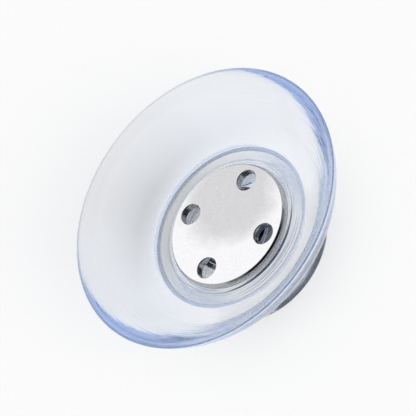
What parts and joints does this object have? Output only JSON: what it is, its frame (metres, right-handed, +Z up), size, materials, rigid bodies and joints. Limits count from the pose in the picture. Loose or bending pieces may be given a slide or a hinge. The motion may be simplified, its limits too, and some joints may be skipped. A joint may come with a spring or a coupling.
{
  "type": "magnetic soap holder",
  "caption": "Clear flared soap dish on a hollow round base, with a holed steel disc held in its floor by a magnet sealed below it.",
  "frame": {"origin": "centre of the foot, on the surface that the holder stands on", "axes": "+Z up along the dish's axis; -Y towards the viewer of the picture; +X to the viewer's right with the picture's tilt removed"},
  "size_m": [0.1126, 0.1126, 0.038],
  "materials": {
    "clear_plastic": "polished, clear with a slight blue tint in the edges",
    "disc_steel": "fine satin, edge bevelled and darker",
    "magnet_metal": "dark, dull",
    "plate_steel": "plain rolled",
    "cap_plastic": "grey, half gloss"
  },
  "bodies": {
    "holder": {"dish": "clear_plastic", "base": "clear_plastic", "magnet": "magnet_metal", "pole_plate": "plate_steel", "well_cap": "cap_plastic"},
    "steel_disc": {"soap_disc": "disc_steel"}
  },
  "joints": [
    {"name": "disc_lift", "type": "slide", "parent": "holder", "child": "steel_disc", "axis": [0, 0, 1], "range_m": [0, 0.03]}
  ]
}
